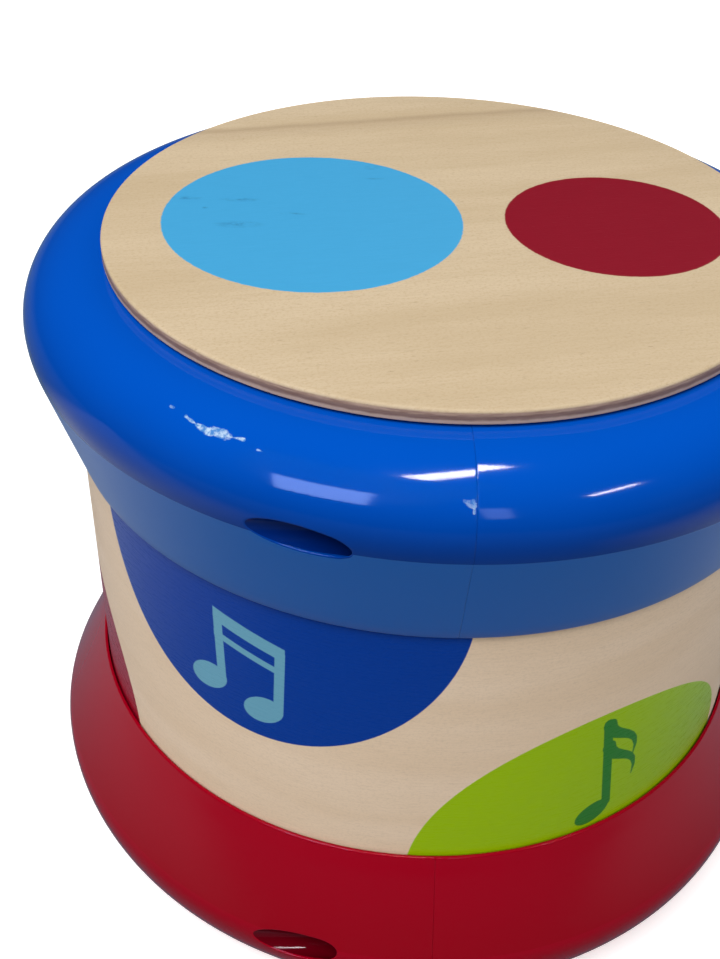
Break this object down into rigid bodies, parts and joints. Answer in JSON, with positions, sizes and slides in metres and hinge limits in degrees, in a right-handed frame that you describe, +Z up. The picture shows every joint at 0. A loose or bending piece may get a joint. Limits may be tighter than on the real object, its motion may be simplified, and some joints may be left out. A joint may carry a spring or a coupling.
{
  "type": "baby drum",
  "caption": "Round tap drum for a baby: a sprung wooden head with printed pads on a bent-wood shell, clamped between split plastic rim and base rings, with sound parts inside.",
  "frame": {"origin": "on the floor, on the drum's axis", "axes": "+Z up along the drum's axis; the rings part at x = 0, with the front seam at -Y; the pads lie along X"},
  "size_m": [0.1654, 0.1654, 0.135],
  "materials": {
    "birch": "satin varnish",
    "blue_plastic": "gloss",
    "red_plastic": "gloss",
    "grey_plastic": "matte",
    "black_plastic": "matte",
    "circuit_board": "satin",
    "steel": "zinc plated",
    "ferrite": "matte",
    "cell": "printed sleeve, plain colour",
    "wire": "matte"
  },
  "bodies": {
    "drum_body": {"base_half_left": "red_plastic", "base_half_right": "red_plastic", "base_plate": "red_plastic", "base_screw_front": "steel", "base_screw_rear": "steel", "battery_bridge_1": "steel", "battery_bridge_2": "steel", "battery_cell_1": "cell", "battery_cell_2": "cell", "battery_cell_3": "cell", "battery_contact_negative": "steel", "battery_contact_positive": "steel", "battery_lead_negative": "wire", "battery_lead_positive": "wire", "drum_shell": "birch", "head_spring_1": "steel", "head_spring_2": "steel", "head_spring_3": "steel", "main_board": "circuit_board", "main_board_screw_1": "steel", "main_board_screw_2": "steel", "mode_switch_body": "steel", "pad_board": "circuit_board", "pad_board_screw_1": "steel", "pad_board_screw_2": "steel", "pad_lead": "wire", "pad_switch_left": "black_plastic", "pad_switch_right": "black_plastic", "rim_half_left": "blue_plastic", "rim_half_right": "blue_plastic", "rim_screw_front": "steel", "rim_screw_rear": "steel", "sound_chip": "black_plastic", "speaker_basket": "steel", "speaker_lead": "wire", "speaker_magnet": "ferrite", "speaker_screw_1": "steel", "speaker_screw_2": "steel", "speaker_screw_3": "steel", "tie_screw_1": "steel", "tie_screw_2": "steel", "tie_screw_3": "steel", "top_deck": "grey_plastic"},
    "head": {"carrier_screw_1": "steel", "carrier_screw_2": "steel", "carrier_screw_3": "steel", "drum_head": "birch", "head_carrier": "grey_plastic"},
    "left_plunger": {"pad_plunger_left": "grey_plastic"},
    "right_plunger": {"pad_plunger_right": "grey_plastic"},
    "mode_switch": {"mode_switch_lever": "black_plastic", "mode_switch_knob": "black_plastic"},
    "battery_door": {"battery_door": "red_plastic"},
    "door_screw": {"battery_door_screw": "steel"},
    "speaker_cone": {"speaker_cone": "black_plastic"}
  },
  "joints": [
    {"name": "head_press", "type": "slide", "parent": "drum_body", "child": "head", "axis": [0, 0, -1], "range_m": [0, 0.0005], "stiffness_N_per_m": 2000, "springref_m": -0.0015, "deforming": ["head_spring_1", "head_spring_2", "head_spring_3"]},
    {"name": "left_plunger_press", "type": "slide", "parent": "drum_body", "child": "left_plunger", "axis": [0, 0, -1], "range_m": [0, 0.0005]},
    {"name": "right_plunger_press", "type": "slide", "parent": "drum_body", "child": "right_plunger", "axis": [0, 0, -1], "range_m": [0, 0.0005]},
    {"name": "mode_switch_slide", "type": "slide", "parent": "drum_body", "child": "mode_switch", "axis": [1, 0, 0], "range_m": [-0.003, 0.003]},
    {"name": "battery_door_swing", "type": "hinge", "parent": "drum_body", "child": "battery_door", "pos_m": [0.024, 0.03498, 0.009], "axis": [1, 0, 0], "range_deg": [0, 90]},
    {"name": "door_screw_turn", "type": "hinge", "parent": "battery_door", "child": "door_screw", "pos_m": [0.024, -0.0296, 0.009], "axis": [0, 0, 1], "continuous": true},
    {"name": "speaker_cone_move", "type": "slide", "parent": "drum_body", "child": "speaker_cone", "axis": [0, 0, 1], "range_m": [-0.0003, 0.0003], "stiffness_N_per_m": 1500}
  ],
  "couplings": [
    {"joint": "left_plunger_press", "follows": "head_press", "ratio": 1},
    {"joint": "right_plunger_press", "follows": "head_press", "ratio": 1}
  ]
}
